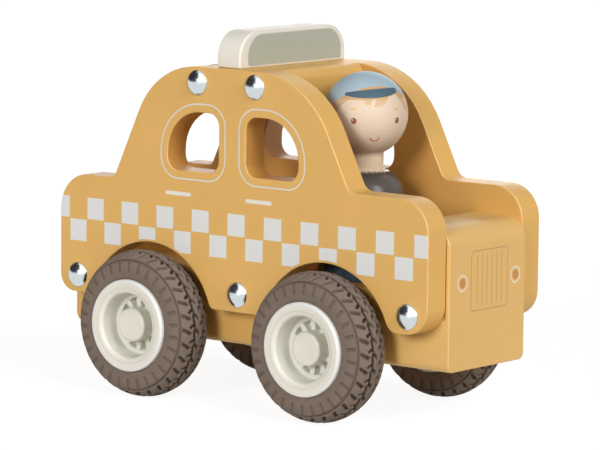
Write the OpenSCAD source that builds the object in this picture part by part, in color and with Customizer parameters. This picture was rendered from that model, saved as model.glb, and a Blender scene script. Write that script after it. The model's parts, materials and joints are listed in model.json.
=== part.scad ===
// Toy taxi of painted wood: two sawn side panels bolted to blocks, a roof board with a sign,
// rubber tyres on moulded rims, two axles that turn freely and a peg driver that lifts out.
// Frame: +X forward, +Y to the car's left, +Z up, origin on the ground at mid length.

/* [Side panels] */
// Thickness of each side panel
panel_t = 12; // [9:0.5:15]
// Level bottom edge between the front arch and the bottom front corner
front_skirt = 3.95; // [2:0.05:12]
// Level bottom edge between the rear arch and the bottom rear corner
rear_skirt = 5.65; // [2:0.05:12]
// Height of the panels' bottom edge above the underside of the floor block
panel_lift = 15.6; // [12:0.2:18]
// Height of the roof above the panels' bottom edge
roof_h = 98.8; // [92:0.2:110]
// Height of the bonnet above the panels' bottom edge
bonnet_h = 53.8; // [48:0.2:54]
// Height of the boot above the panels' bottom edge
boot_h = 49.9; // [46:0.2:54]
// Length of the bonnet from the front end to the foot of the front pillar
bonnet_l = 39.6; // [34:0.2:44]
// Length of the boot from the rear end to the foot of the rear pillar
boot_l = 29.5; // [24:0.5:36]
// Slope of the front pillar from the level
front_pillar_angle = 63.8; // [58:0.2:70]
// Slope of the rear pillar from the level
rear_pillar_angle = 65.3; // [58:0.1:70]
// Radius where the front pillar runs into the roof
roof_front_r = 40; // [30:1:44]
// Radius where the rear pillar runs into the roof
roof_rear_r = 34; // [26:1:40]
// Radius of the bonnet's front corner
bonnet_r = 13.5; // [9:0.5:18]
// Radius of the boot's rear corner
boot_r = 15; // [10:0.5:20]
// Radius of the bottom front corner
front_heel_r = 11; // [7:0.5:13]
// Radius of the bottom rear corner
rear_heel_r = 7.5; // [5:0.5:10]
// Inside radius at the foot of the front pillar
bonnet_foot_r = 5.5; // [3:0.5:8]
// Inside radius at the foot of the rear pillar
boot_foot_r = 3; // [2:0.5:6]
// Gap between a tyre and its wheel arch
arch_gap = 2.8; // [2:0.2:4]
// Corner radius where an arch meets the bottom edge towards the ends
arch_end_r = 6; // [3:0.5:7]
// Corner radius where an arch meets the bottom edge between the wheels
arch_mid_r = 3.3; // [2:0.1:5]

/* [Windows] */
// Length of a window opening
window_l = 27.2; // [22:0.2:30]
// Height of a window opening
window_h = 24.4; // [20:0.2:26]
// Height of the window sills above the panels' bottom edge
window_sill = 55.8; // [52:0.2:60]
// Corner radius of a window
window_r = 5.5; // [3:0.5:7]
// Radius of the window corner that follows the roof
window_curve_r = 17; // [10:0.5:18]
// Width of the door post between the windows
door_post_w = 14.2; // [10:0.2:18]
// How far the door post stands ahead of the roof board's middle
door_post_ahead = 3.6; // [0:0.2:6]

/* [Blocks] */
// Width of the floor, nose and tail blocks and of the roof board
block_w = 51; // [46:0.5:58]
// Height of the floor block
floor_h = 30.4; // [27:0.2:34]
// Length of the nose block
nose_l = 25.3; // [20:0.1:26]
// Height of the nose block
nose_h = 57.6; // [50:0.2:62]
// Radius of the nose block's top front edge
nose_r = 8.5; // [5:0.5:12]
// Length of the tail block
tail_l = 25.3; // [20:0.1:26]
// Height of the tail block
tail_h = 57.6; // [50:0.2:62]
// Radius of the tail block's top rear edge
tail_r = 8.5; // [5:0.5:12]
// Radius of the tail block's bottom rear edge
tail_heel_r = 5; // [2:0.5:8]
// How far the nose and tail blocks stand out past the panel ends
block_proud = 1.8; // [1:0.2:4]
// Radius along the long bottom edges of the blocks
keel_r = 3; // [1:0.5:5]
// Thickness of the roof board
roof_t = 13; // [11:0.5:16]
// Length of the roof board
roof_l = 44.2; // [40:0.2:46]
// Gap between the roof board's front end and the driver's foot as it is lifted out
lift_gap = 1.1; // [0.8:0.1:3]
// Radius of the roof board's top end edges
roof_edge_r = 4.5; // [2:0.5:6]

/* [Roof sign] */
// Width of the sign across the car
sign_w = 68.8; // [60:0.2:80]
// Thickness of the sign along the car
sign_t = 12.2; // [10:0.2:16]
// Height of the sign
sign_h = 15.1; // [13:0.1:20]
// Radius of the sign's top corners
sign_r = 11; // [6:0.5:12]
// How far the sign stands behind the roof board's middle
sign_back = 1.2; // [0:0.2:6]
// Diameter of the dowels that hold the sign
dowel_d = 6; // [4:0.5:8]
// Length of a dowel, half in the sign and half in the roof board
dowel_l = 16; // [12:1:20]
// Distance between the dowels
dowel_gap = 36; // [24:1:40]

/* [Dome bolts] */
// Diameter of a bolt's dome head
bolt_head_d = 10.5; // [8:0.5:12]
// Height of a bolt's dome head
bolt_head_h = 3; // [2:0.2:4]
// Diameter of a bolt's shank
bolt_d = 5; // [4:0.5:6]
// Length of a bolt's shank
bolt_l = 26; // [20:1:30]
// Distance of the end bolts from the panel ends
bolt_inset = 9.9; // [8:0.1:13]
// Height of the lower bolts above the panels' bottom edge
bolt_rise = 7.3; // [6:0.1:9]
// Distance between the two roof bolts of a side
roof_bolt_gap = 30.1; // [24:0.1:32]

/* [Wheels] */
// Diameter of a tyre
tyre_d = 61; // [56:0.5:64]
// Width of a tyre
tyre_w = 19.6; // [16:0.2:22]
// Diameter of the tyre's shoulders, where the tread starts
shoulder_d = 54.6; // [52:0.2:55]
// Width of the tread between the shoulders
tread_w = 17; // [14:0.2:18]
// Diameter of the sidewall's outer edge
sidewall_d = 53.2; // [51:0.2:54]
// Bulge of the sidewall
sidewall_bulge = 0.7; // [0.4:0.1:1]
// Depth of the crease between sidewall and tread
crease_depth = 0.4; // [0.2:0.1:0.8]
// How far a tyre's middle stands outside its panel
wheel_out = 3.8; // [2:0.2:6]
// Distance between the axles
wheel_base = 91.8; // [86:0.2:96]
// Height of the axles above the underside of the floor block
axle_up = 6.9; // [5:0.1:9]
// Diameter of an axle
axle_d = 4; // [3:0.5:5]
// Play of an axle in its bore, across the diameter
axle_play = 0.2; // [0.1:0.02:0.2]
// Gap between a rim's boss and the floor block
wheel_gap = 0.4; // [0.3:0.1:1]
// Depth of an axle's seat in each rim, measured from the tyre's middle
axle_seat = 4.5; // [2:0.5:6]

/* [Tread] */
// Number of lugs along each shoulder
lug_n = 30; // [20:1:36]
// Length of the slot between two lugs
lug_slot_l = 4.4; // [3:0.1:5]
// Width of the slot between two lugs
lug_slot_w = 1.3; // [0.8:0.1:1.8]
// Depth of the slot between two lugs
lug_slot_depth = 1; // [0.5:0.1:1.4]
// Slant of the slots from straight across the tyre
lug_slot_slant = 30; // [0:1:40]
// Where the slots lie between the middle of the tread and its shoulder
lug_slot_share = 0.74; // [0.7:0.01:0.78]
// Width of the zigzag groove along each side of the middle rib
zigzag_w = 0.9; // [0.6:0.1:1.2]
// Depth of the zigzag groove
zigzag_depth = 1.2; // [0.6:0.1:1.6]
// Swing of the zigzag groove from side to side
zigzag_swing = 1.2; // [0.6:0.1:1.6]
// Where the zigzag groove lies between the middle of the tread and its shoulder
zigzag_share = 0.28; // [0.22:0.01:0.34]
// Length of a slot in the sidewall
wall_slot_l = 4.6; // [3:0.1:5]
// Width of a slot in the sidewall
wall_slot_w = 1.6; // [1:0.1:2]
// Depth of a slot in the sidewall
wall_slot_depth = 0.6; // [0.3:0.1:0.8]
// Where the sidewall slots lie between the rim and the sidewall's outer edge
wall_slot_share = 0.74; // [0.6:0.01:0.76]

/* [Rims] */
// Diameter of a rim's flanges
rim_d = 38.2; // [36:0.2:40]
// Width of a flange at the tyre
flange_w = 1.2; // [1:0.1:2]
// How far the lip stands out past the tyre's sidewall
lip_out = 1.3; // [1:0.1:2]
// Radius of the lip's outer edge
lip_r = 1; // [0.6:0.1:1.8]
// Diameter of the shallow step on the lip's face
step_d = 31.4; // [31:0.2:33]
// Height of the shallow step on the lip's face
step_h = 0.3; // [0.1:0.1:0.6]
// Depth of the tyre's seat below the flanges
seat_depth = 1.5; // [1:0.1:2.5]
// Wall of the rim's barrel
barrel_wall = 2.2; // [1.6:0.1:3]
// Diameter of the bowl below its rounded mouth
mouth_d = 26.8; // [26:0.2:28]
// Rounding of the bowl's mouth
mouth_r = 1.5; // [0.8:0.1:1.8]
// Diameter of the bowl's floor
bowl_d = 25.8; // [25:0.2:26]
// Depth of the bowl's floor behind the lip
bowl_depth = 9.1; // [8:0.1:10]
// Thickness of the web between hub and barrel
web_t = 5; // [4:0.2:6]
// Outer diameter of the pockets between the spokes
pocket_d = 22; // [21:0.2:24]
// Thickness of the web that closes the pockets behind
pocket_floor = 1.2; // [0.8:0.1:2]
// Diameter of the hub
hub_d = 14; // [12:0.2:16]
// How far the hub's face lies behind the lip
hub_in = 3; // [2:0.1:4]
// Radius of the hub's edge
hub_r = 1.2; // [0.6:0.1:2]
// Diameter of the boss that runs to the floor block
boss_d = 11; // [9:0.5:13]
// Number of spokes
spoke_n = 11; // [7:1:13]
// Width of a spoke
spoke_w = 2.3; // [1.6:0.1:3]
// How far the spokes lie below the bowl's floor
spoke_in = 0.4; // [0.2:0.1:1]

/* [Driver] */
// Level floor between the driver's pocket and the nose block
front_well = 17.1; // [15:0.1:18]
// Diameter of the driver's foot
foot_d = 39.2; // [34:0.2:40]
// Depth of the foot's pocket in the floor block
pocket_depth = 4; // [2:0.5:8]
// Gap all round the foot in its pocket
pocket_play = 0.4; // [0.3:0.1:0.8]
// Rounding of the foot's edge
foot_r = 1; // [0.5:0.1:2]
// Diameter of the driver at the shoulders
shoulder_w = 32.4; // [28:0.2:34]
// Height of the shoulders above the foot
shoulder_up = 36; // [32:0.5:40]
// Height of the collar above the foot
collar_up = 47.6; // [46:0.2:52]
// Diameter of the neck
neck_d = 15; // [12:0.5:18]
// Diameter of the head
head_d = 34.4; // [32:0.2:36]
// Height of the head's middle above the foot
head_up = 70.4; // [68:0.2:73]

/* [Hidden] */

// Steps along each rounded corner, and along a wheel arch
corner_n = 10;
arch_n = 36;
// Steps along half of the tread's arc, and along a sidewall
tread_n = 5;
wall_n = 4;
// Facets of round solids
$fn = 96;
// Overrun of every cut past the face that it opens
cut = 1;

// Paint and material colours
mustard = [0.85, 0.68, 0.39];
cream = [0.91, 0.88, 0.83];
ivory = [0.88, 0.87, 0.82];
taupe = [0.47, 0.41, 0.37];
chrome = [0.78, 0.80, 0.82];
steel = [0.62, 0.63, 0.65];
beech = [0.82, 0.68, 0.50];
jacket = [0.36, 0.33, 0.31];

// Levels across the body
half_w = block_w / 2 + panel_t;
axle_z = tyre_d / 2;
floor_z = axle_z - axle_up;
floor_top = floor_z + floor_h;
panel_z = floor_z + panel_lift;
roof_z = panel_z + roof_h;
bonnet_z = panel_z + bonnet_h;
boot_z = panel_z + boot_h;
arch_r = tyre_d / 2 + arch_gap;
wheel_y = half_w + wheel_out;
low_bolt_z = panel_z + bolt_rise;
roof_bolt_z = roof_z - roof_t / 2;
foot_z = floor_top - pocket_depth;

// Half the bottom width of a wheel arch, with a corner of radius r
function arch_reach(r) = sqrt(pow(arch_r + r, 2) - pow(panel_z + r - axle_z, 2));

// Ends of the body, and what is set out from them
front_overhang = arch_reach(arch_end_r) + front_skirt + front_heel_r;
rear_overhang = arch_reach(arch_end_r) + rear_skirt + rear_heel_r;
half_l = (front_overhang + wheel_base + rear_overhang) / 2;
end_x = half_l + block_proud;
front_axle_x = half_l - front_overhang;
rear_axle_x = rear_overhang - half_l;
driver_x = end_x - nose_l - front_well - pocket_play - foot_d / 2;
roof_x = driver_x - foot_d / 2 - lift_gap - roof_l / 2;
sign_x = roof_x - sign_back;
door_post_x = roof_x + door_post_ahead;
bonnet_foot = [half_l - bonnet_l, bonnet_z];
boot_foot = [boot_l - half_l, boot_z];

// Widths along a wheel's axis, measured outward from the tyre's middle
side_w = tyre_w / 2;
lip_w = side_w + lip_out;
mouth_w = lip_w - step_h - mouth_r;
bowl_w = lip_w - bowl_depth;
web_w = bowl_w - web_t;
hub_w = lip_w - hub_in;
boss_w = wheel_y - block_w / 2 - wheel_gap;
seat_d = rim_d - 2 * seat_depth;
barrel_d = seat_d - 2 * barrel_wall;
seat_w = side_w - flange_w;

// Points along an arc about c, from angle a0 to a1
function arc(c, r, a0, a1, n = corner_n) =
    [for (i = [0:n]) c + r * [cos(a0 + (a1 - a0) * i / n), sin(a0 + (a1 - a0) * i / n)]];

// Outline of one wheel arch about x, with corners of radius r0 behind it and r1 ahead of it
function arch_outline(x, r0, r1) =
    let (
        c0 = [x - arch_reach(r0), panel_z + r0],
        c1 = [x + arch_reach(r1), panel_z + r1],
        a0 = atan2(c0[1] - axle_z, c0[0] - x),
        a1 = atan2(c1[1] - axle_z, c1[0] - x)
    )
    concat(
        arc(c0, r0, -90, a0 - 180),
        arc([x, axle_z], arch_r, a0, a1, arch_n),
        arc(c1, r1, a1 + 180, 270)
    );

// Middle of the arc between a pillar that rises from foot at angle a and the roof
function roof_corner_x(foot, a, r) = (r + (roof_z - r - foot[1]) * cos(a)) / sin(a);

// Side outline of a panel, from the bottom rear corner along the bottom and back over the roof
function panel_outline() = concat(
    arc([rear_heel_r - half_l, panel_z + rear_heel_r], rear_heel_r, 180, 270),
    arch_outline(rear_axle_x, arch_end_r, arch_mid_r),
    arch_outline(front_axle_x, arch_mid_r, arch_end_r),
    arc([half_l - front_heel_r, panel_z + front_heel_r], front_heel_r, -90, 0),
    arc([half_l - bonnet_r, bonnet_z - bonnet_r], bonnet_r, 0, 90),
    arc(bonnet_foot + bonnet_foot_r * [tan(front_pillar_angle / 2), 1], bonnet_foot_r,
        270, 270 - front_pillar_angle),
    arc([bonnet_foot[0] - roof_corner_x(bonnet_foot, front_pillar_angle, roof_front_r),
         roof_z - roof_front_r], roof_front_r, 90 - front_pillar_angle, 90),
    arc([boot_foot[0] + roof_corner_x(boot_foot, rear_pillar_angle, roof_rear_r),
         roof_z - roof_rear_r], roof_rear_r, 90, 90 + rear_pillar_angle),
    arc(boot_foot + boot_foot_r * [-tan(rear_pillar_angle / 2), 1], boot_foot_r,
        270 + rear_pillar_angle, 270),
    arc([boot_r - half_l, boot_z - boot_r], boot_r, 90, 180)
);

// Outline of a window that starts at the door post; the curved corner is the far upper one
function window_outline() = concat(
    arc([window_r, window_r], window_r, 180, 270),
    arc([window_l - window_r, window_r], window_r, -90, 0),
    arc([window_l - window_curve_r, window_h - window_curve_r], window_curve_r, 0, 90),
    arc([window_r, window_h - window_r], window_r, 90, 180)
);

// Places of one side's bolts, seen from the side
function bolt_places() = concat(
    [for (x = [bolt_inset - half_l, 0, half_l - bolt_inset]) [x, low_bolt_z]],
    [for (s = [-1, 1]) [roof_x + s * roof_bolt_gap / 2, roof_bolt_z]]
);

// Stands a side view up and gives it thickness t, outward from y on the car's right
module upright(y, t) {
    translate([0, -y, 0])
        rotate([90, 0, 0])
            linear_extrude(t)
                children();
}

// Round rod across the car from y0 to y1 on its right, at x and z
module cross_rod(x, z, y0, y1, d) {
    translate([x, -y0, z])
        rotate([90, 0, 0])
            cylinder(h = y1 - y0, d = d);
}

// Shapes the long bottom edges of a block that reaches from x0 to x1 and up to z1
module keel(x0, x1, z1) {
    translate([x0, 0, 0])
        rotate([90, 0, 90])
            linear_extrude(x1 - x0)
                polygon(concat(
                    arc([keel_r - block_w / 2, floor_z + keel_r], keel_r, 180, 270),
                    arc([block_w / 2 - keel_r, floor_z + keel_r], keel_r, -90, 0),
                    [[block_w / 2, z1], [-block_w / 2, z1]]
                ));
}

// Holes for all bolts of both sides
module bolt_holes() {
    for (s = [0, 1], p = bolt_places())
        mirror([0, s, 0])
            cross_rod(p[0], p[1], half_w - bolt_l, half_w + cut, bolt_d);
}

module side_panel() {
    color(mustard)
        difference() {
            upright(block_w / 2, panel_t)
                polygon(panel_outline());
            for (s = [1, -1])
                translate([door_post_x + s * door_post_w / 2, 0, panel_z + window_sill])
                    upright(block_w / 2 - cut, panel_t + 2 * cut)
                        mirror([s > 0 ? 0 : 1, 0])
                            polygon(window_outline());
            bolt_holes();
        }
}

module floor_block() {
    color(mustard)
        difference() {
            keel(tail_l - end_x, end_x - nose_l, floor_top);
            for (x = [front_axle_x, rear_axle_x])
                cross_rod(x, axle_z, -block_w, block_w, axle_d + axle_play);
            translate([driver_x, 0, foot_z])
                cylinder(h = pocket_depth + cut, d = foot_d + 2 * pocket_play);
            bolt_holes();
        }
}

module nose_block() {
    color(mustard)
        difference() {
            intersection() {
                keel(end_x - nose_l, end_x, floor_z + nose_h);
                upright(-block_w / 2, block_w)
                    polygon(concat(
                        [[end_x - nose_l, floor_z], [end_x, floor_z]],
                        arc([end_x - nose_r, floor_z + nose_h - nose_r], nose_r, 0, 90),
                        [[end_x - nose_l, floor_z + nose_h]]
                    ));
            }
            bolt_holes();
        }
}

module tail_block() {
    color(mustard)
        difference() {
            intersection() {
                keel(-end_x, tail_l - end_x, floor_z + tail_h);
                upright(-block_w / 2, block_w)
                    polygon(concat(
                        arc([tail_heel_r - end_x, floor_z + tail_heel_r], tail_heel_r, 180, 270),
                        [[tail_l - end_x, floor_z], [tail_l - end_x, floor_z + tail_h]],
                        arc([tail_r - end_x, floor_z + tail_h - tail_r], tail_r, 90, 180)
                    ));
            }
            bolt_holes();
        }
}

module roof_board() {
    color(mustard)
        difference() {
            translate([roof_x, 0, roof_z - roof_t])
                upright(-block_w / 2, block_w)
                    polygon(concat(
                        [[-roof_l / 2, 0], [roof_l / 2, 0]],
                        arc([roof_l / 2 - roof_edge_r, roof_t - roof_edge_r], roof_edge_r, 0, 90),
                        arc([roof_edge_r - roof_l / 2, roof_t - roof_edge_r], roof_edge_r, 90, 180)
                    ));
            sign_dowels();
            bolt_holes();
        }
}

module roof_sign() {
    color(cream)
        difference() {
            translate([sign_x - sign_t / 2, 0, roof_z])
                rotate([90, 0, 90])
                    linear_extrude(sign_t)
                        polygon(concat(
                            [[-sign_w / 2, 0], [sign_w / 2, 0]],
                            arc([sign_w / 2 - sign_r, sign_h - sign_r], sign_r, 0, 90),
                            arc([sign_r - sign_w / 2, sign_h - sign_r], sign_r, 90, 180)
                        ));
            sign_dowels();
        }
}

module sign_dowels() {
    color(beech)
        for (s = [-1, 1])
            translate([sign_x, s * dowel_gap / 2, roof_z - dowel_l / 2])
                cylinder(h = dowel_l, d = dowel_d);
}

module dome_bolt() {
    // Radius of the ball that the dome head is cut from
    dome_r = (pow(bolt_head_d / 2, 2) + pow(bolt_head_h, 2)) / (2 * bolt_head_h);
    cross_rod(0, 0, half_w - bolt_l, half_w, bolt_d);
    intersection() {
        cross_rod(0, 0, half_w, half_w + bolt_head_h + cut, bolt_head_d);
        translate([0, dome_r - half_w - bolt_head_h, 0])
            sphere(r = dome_r);
    }
}

module dome_bolts() {
    color(chrome)
        for (p = bolt_places())
            translate([p[0], 0, p[1]])
                dome_bolt();
}

module axle(x) {
    color(steel)
        cross_rod(x, axle_z, -wheel_y - axle_seat, wheel_y + axle_seat, axle_d);
}

// Puts a wheel piece, drawn about +Z with its outer side up, on the car's right at x
module on_axle(x) {
    translate([x, -wheel_y, axle_z])
        rotate([90, 0, 0])
            children();
}

module rim() {
    color(ivory)
        difference() {
            union() {
                // Barrel, lip, bowl and the outer part of the web
                rotate_extrude()
                    polygon(concat(
                        [[pocket_d / 2, web_w], [barrel_d / 2, web_w], [barrel_d / 2, -side_w]],
                        [[rim_d / 2, -side_w], [rim_d / 2, -seat_w], [seat_d / 2, -seat_w]],
                        [[seat_d / 2, seat_w], [rim_d / 2, seat_w]],
                        arc([rim_d / 2 - lip_r, lip_w - lip_r], lip_r, 0, 90),
                        [[step_d / 2, lip_w]],
                        arc([mouth_d / 2 + mouth_r, mouth_w], mouth_r, 90, 180),
                        [[bowl_d / 2, bowl_w], [pocket_d / 2, bowl_w]]
                    ));
                // Thin web that closes the pockets
                translate([0, 0, web_w])
                    cylinder(h = pocket_floor, d = barrel_d);
                // Hub with an eased face, and the boss behind it
                rotate_extrude()
                    polygon(concat(
                        [[0, -boss_w], [boss_d / 2, -boss_w], [boss_d / 2, web_w], [hub_d / 2, web_w]],
                        arc([hub_d / 2 - hub_r, hub_w - hub_r], hub_r, 0, 90),
                        [[0, hub_w]]
                    ));
                for (i = [0:spoke_n - 1])
                    rotate([0, 0, i * 360 / spoke_n])
                        translate([hub_d / 2 - hub_r, -spoke_w / 2, web_w])
                            cube([(pocket_d - hub_d) / 2 + 2 * hub_r, spoke_w, web_t - spoke_in]);
            }
            translate([0, 0, -boss_w - cut])
                cylinder(h = boss_w + cut + axle_seat, d = axle_d);
        }
}

// Radius of the tread's arc across the tyre, and the middle that it is drawn about
crown = (tyre_d - shoulder_d) / 2;
tread_r = (pow(crown, 2) + pow(tread_w / 2, 2)) / (2 * crown);
tread_middle = tyre_d / 2 - tread_r;

// Half of the tyre's section, from the middle of the tread out and in to the bead
function half_tyre() =
    let (
        tread_a = asin(tread_w / 2 / tread_r),
        wall = (sidewall_d - rim_d) / 4,
        wall_r = (pow(wall, 2) + pow(sidewall_bulge, 2)) / (2 * sidewall_bulge),
        wall_a = asin(wall / wall_r)
    )
    concat(
        arc([tread_middle, 0], tread_r, 0, tread_a, tread_n),
        [[(shoulder_d + sidewall_d) / 4, tread_w / 2 - crease_depth]],
        arc([rim_d / 2 + wall, side_w - wall_r], wall_r, 90 - wall_a, 90 + wall_a, wall_n),
        [[rim_d / 2, seat_w], [seat_d / 2, seat_w]]
    );

// Stands a cutter on the tread at angle a round the tyre and w across it, with +X out of the rubber
module on_tread(a, w) {
    rotate([0, 0, a])
        translate([tread_middle, 0, 0])
            rotate([0, -asin(w / tread_r), 0])
                translate([tread_r, 0, 0])
                    children();
}

// Slanted slots between the lugs and the zigzag groove beside the middle rib, on the outer half
module tread_cuts() {
    half_pitch = PI * tyre_d / lug_n / 2;
    for (i = [0:lug_n - 1]) {
        on_tread(i * 360 / lug_n, lug_slot_share * tread_w / 2)
            rotate([-lug_slot_slant, 0, 0])
                cube([2 * lug_slot_depth, lug_slot_w, lug_slot_l], center = true);
        for (k = [-1, 1])
            on_tread((i + k / 4) * 360 / lug_n, zigzag_share * tread_w / 2)
                rotate([90 + k * atan2(zigzag_swing, half_pitch), 0, 0])
                    cube([2 * zigzag_depth, zigzag_w, norm([half_pitch, zigzag_swing]) + zigzag_w / 2],
                         center = true);
    }
}

// Ring of short slots in the outer sidewall
module wall_cuts() {
    r = (rim_d + wall_slot_share * (sidewall_d - rim_d)) / 2;
    for (i = [0:lug_n - 1])
        rotate([0, 0, (i + 1 / 2) * 360 / lug_n])
            translate([r, 0, side_w])
                cube([wall_slot_l, wall_slot_w, 2 * wall_slot_depth], center = true);
}

module tyre() {
    half = half_tyre();
    last = len(half) - 1;
    color(taupe)
        difference() {
            rotate_extrude()
                polygon(concat(half, [for (i = [last:-1:1]) [half[i][0], -half[i][1]]]));
            for (s = [0, 1])
                mirror([0, 0, s])
                    tread_cuts();
            wall_cuts();
        }
}

module driver() {
    color(jacket)
        translate([driver_x, 0, foot_z]) {
            rotate_extrude()
                polygon(concat(
                    [[0, 0]],
                    arc([foot_d / 2 - foot_r, foot_r], foot_r, -90, 0),
                    [for (p = arc([0, 0], 1, 0, 90))
                        [neck_d / 2 + p[0] * (shoulder_w - neck_d) / 2,
                         shoulder_up + p[1] * (collar_up - shoulder_up)]],
                    [[0, collar_up]]
                ));
            translate([0, 0, collar_up])
                cylinder(h = head_up - collar_up, d = neck_d);
            translate([0, 0, head_up])
                sphere(d = head_d);
        }
}

side_panel();  // side_panel_right
mirror([0, 1, 0]) side_panel();  // side_panel_left
floor_block();
nose_block();
tail_block();
roof_board();
roof_sign();
sign_dowels();
dome_bolts();  // dome_bolts_right
mirror([0, 1, 0]) dome_bolts();  // dome_bolts_left
axle(front_axle_x);  // front_axle
axle(rear_axle_x);  // rear_axle
on_axle(front_axle_x) rim();  // rim_front_right
mirror([0, 1, 0]) on_axle(front_axle_x) rim();  // rim_front_left
on_axle(rear_axle_x) rim();  // rim_rear_right
mirror([0, 1, 0]) on_axle(rear_axle_x) rim();  // rim_rear_left
on_axle(front_axle_x) tyre();  // tyre_front_right
mirror([0, 1, 0]) on_axle(front_axle_x) tyre();  // tyre_front_left
on_axle(rear_axle_x) tyre();  // tyre_rear_right
mirror([0, 1, 0]) on_axle(rear_axle_x) tyre();  // tyre_rear_left
driver();
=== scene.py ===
# %% [markdown]
# # A painted wooden taxi
# The toy is sawn from board: two side panels bolted to blocks, a roof board with a sign, four rubber
# tyres on ivory rims and a turned peg driver. The packed model already holds every piece in its true
# place and size, so this lesson only gives the pieces their eased edges, their tread and their paint.

import json
import math

import bmesh
import bpy
from mathutils import Matrix, Vector

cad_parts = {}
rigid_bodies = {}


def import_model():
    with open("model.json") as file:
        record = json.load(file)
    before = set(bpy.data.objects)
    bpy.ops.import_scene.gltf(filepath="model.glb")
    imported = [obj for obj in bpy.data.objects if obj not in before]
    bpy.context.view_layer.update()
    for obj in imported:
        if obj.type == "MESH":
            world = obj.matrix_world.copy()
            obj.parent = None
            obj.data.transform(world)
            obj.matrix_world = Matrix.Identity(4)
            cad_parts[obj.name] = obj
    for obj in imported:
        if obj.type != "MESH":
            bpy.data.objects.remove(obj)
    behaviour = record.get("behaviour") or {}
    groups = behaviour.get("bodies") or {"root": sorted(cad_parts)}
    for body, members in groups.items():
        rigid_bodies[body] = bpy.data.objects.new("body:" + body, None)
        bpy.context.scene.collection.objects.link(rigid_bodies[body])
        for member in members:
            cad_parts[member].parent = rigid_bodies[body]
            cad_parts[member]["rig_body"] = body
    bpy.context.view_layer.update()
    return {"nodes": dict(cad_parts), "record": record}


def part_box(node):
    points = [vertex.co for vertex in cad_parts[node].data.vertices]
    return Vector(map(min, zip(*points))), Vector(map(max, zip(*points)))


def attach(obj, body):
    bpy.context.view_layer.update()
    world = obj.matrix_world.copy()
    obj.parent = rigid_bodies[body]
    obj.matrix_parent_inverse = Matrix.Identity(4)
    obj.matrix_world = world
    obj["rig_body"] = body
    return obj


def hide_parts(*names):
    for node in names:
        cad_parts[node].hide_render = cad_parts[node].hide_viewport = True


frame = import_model()
MM = 0.001  # a millimetre, in the metres of the scene

# %% [markdown]
# ## The camera
# The photograph was taken with a long lens from the car's front right, a little above the bonnet. A
# camera could be aimed by eye, but the printed checks are squares of one size, so they fix its place:
# three angles, one point and one focal length put every check on its own pixel.

# %% Place the camera
azimuth, elevation, roll = (math.radians(a) for a in (38.584, 7.403, 0.664))
stand = (1.01668, -1.27134, 0.28312)  # in metres
focal, sensor = 238.77, 36            # in millimetres

back = Vector((math.sin(azimuth) * math.cos(elevation), -math.cos(azimuth) * math.cos(elevation),
               math.sin(elevation)))
level = Vector((math.cos(azimuth), math.sin(azimuth), 0))
upright = back.cross(level)
across = level * math.cos(roll) + upright * math.sin(roll)
above_lens = upright * math.cos(roll) - level * math.sin(roll)

lens = bpy.data.cameras.new("photo_lens")
lens.lens, lens.sensor_width = focal, sensor
camera = bpy.data.objects.new("photo_lens", lens)
camera.matrix_world = (Matrix.Translation(stand)
                       @ Matrix((across, above_lens, back)).transposed().to_4x4())
bpy.context.scene.collection.objects.link(camera)
bpy.context.scene.camera = camera
bpy.context.scene.view_settings.view_transform = "Standard"
print("camera stands", round(camera.location.length, 2), "m from the car")

# %% [markdown]
# ## Shader sums as Python
# A finish is a graph of nodes, and a graph is hard to read as a list of links. This class wraps one
# socket, so that a sum such as `1 - mask` adds its own Math node, `&` keeps the smaller of two masks
# and `|` the larger. Every other node comes from the one method `node`.

# %% Wrap a socket
class Wire:
    def __init__(self, tree, socket=None):
        self.tree, self.socket = tree, socket

    def node(self, kind, settings=None, values=None, out=0):
        made = self.tree.nodes.new(kind)
        for name, value in (settings or {}).items():
            setattr(made, name, value)
        for key, value in (values or {}).items():
            socket = (made.inputs[key] if isinstance(key, int)
                      else next(s for s in made.inputs if key in (s.identifier, s.name)))
            if isinstance(value, Wire):
                self.tree.links.new(value.socket, socket)
            else:
                socket.default_value = value
        return Wire(self.tree, made.outputs[out] if made.outputs else None)

    def sum(self, operation, first, second=0.0):
        return self.node("ShaderNodeMath", {"operation": operation}, {0: first, 1: second})

    def __add__(self, other): return self.sum("ADD", self, other)
    def __sub__(self, other): return self.sum("SUBTRACT", self, other)
    def __rsub__(self, other): return self.sum("SUBTRACT", other, self)
    def __mul__(self, other): return self.sum("MULTIPLY", self, other)
    def __truediv__(self, other): return self.sum("DIVIDE", self, other)
    def __rtruediv__(self, other): return self.sum("DIVIDE", other, self)
    def __and__(self, other): return self.sum("MINIMUM", self, other)
    def __or__(self, other): return self.sum("MAXIMUM", self, other)
    def __abs__(self): return self.sum("ABSOLUTE", self)
    def __neg__(self): return self * -1.0
    __radd__, __rmul__, __rand__, __ror__ = __add__, __mul__, __and__, __or__

    def clip(self): return (self | 0.0) & 1.0
    def floor(self): return self.sum("FLOOR", self)
    def root(self): return self.sum("SQRT", self)
    def cos(self): return self.sum("COSINE", self)
    def sin(self): return self.sum("SINE", self)


print("a socket takes", len([name for name in vars(Wire) if name.startswith("__r")]), "reflected sums")

# %% [markdown]
# Most marks on the toy are masks: 1 on the mark and 0 off it, with a step between them that is only as
# soft as an inked edge. A few short helpers make the masks and lay one colour over another.

# %% Make masks and mix colours
def srgb(*rgb):
    """A colour as it is read from a screen, 0 to 255, in the linear values that shaders take."""
    share = [c / 255 for c in rgb]
    return tuple(c / 12.92 if c <= 0.04045 else ((c + 0.055) / 1.055) ** 2.4 for c in share) + (1.0,)


def above(value, edge, soft=0.12):
    """1 where value passes edge, 0 below it, with a soft step as wide as soft."""
    return ((value - edge) / soft + 0.5).clip()


def below(value, edge, soft=0.12):
    return 1 - above(value, edge, soft)


def within(value, low, high, soft=0.12):
    return above(value, low, soft) & below(value, high, soft)


def length(u, v):
    return (u * u + v * v).root()


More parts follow.
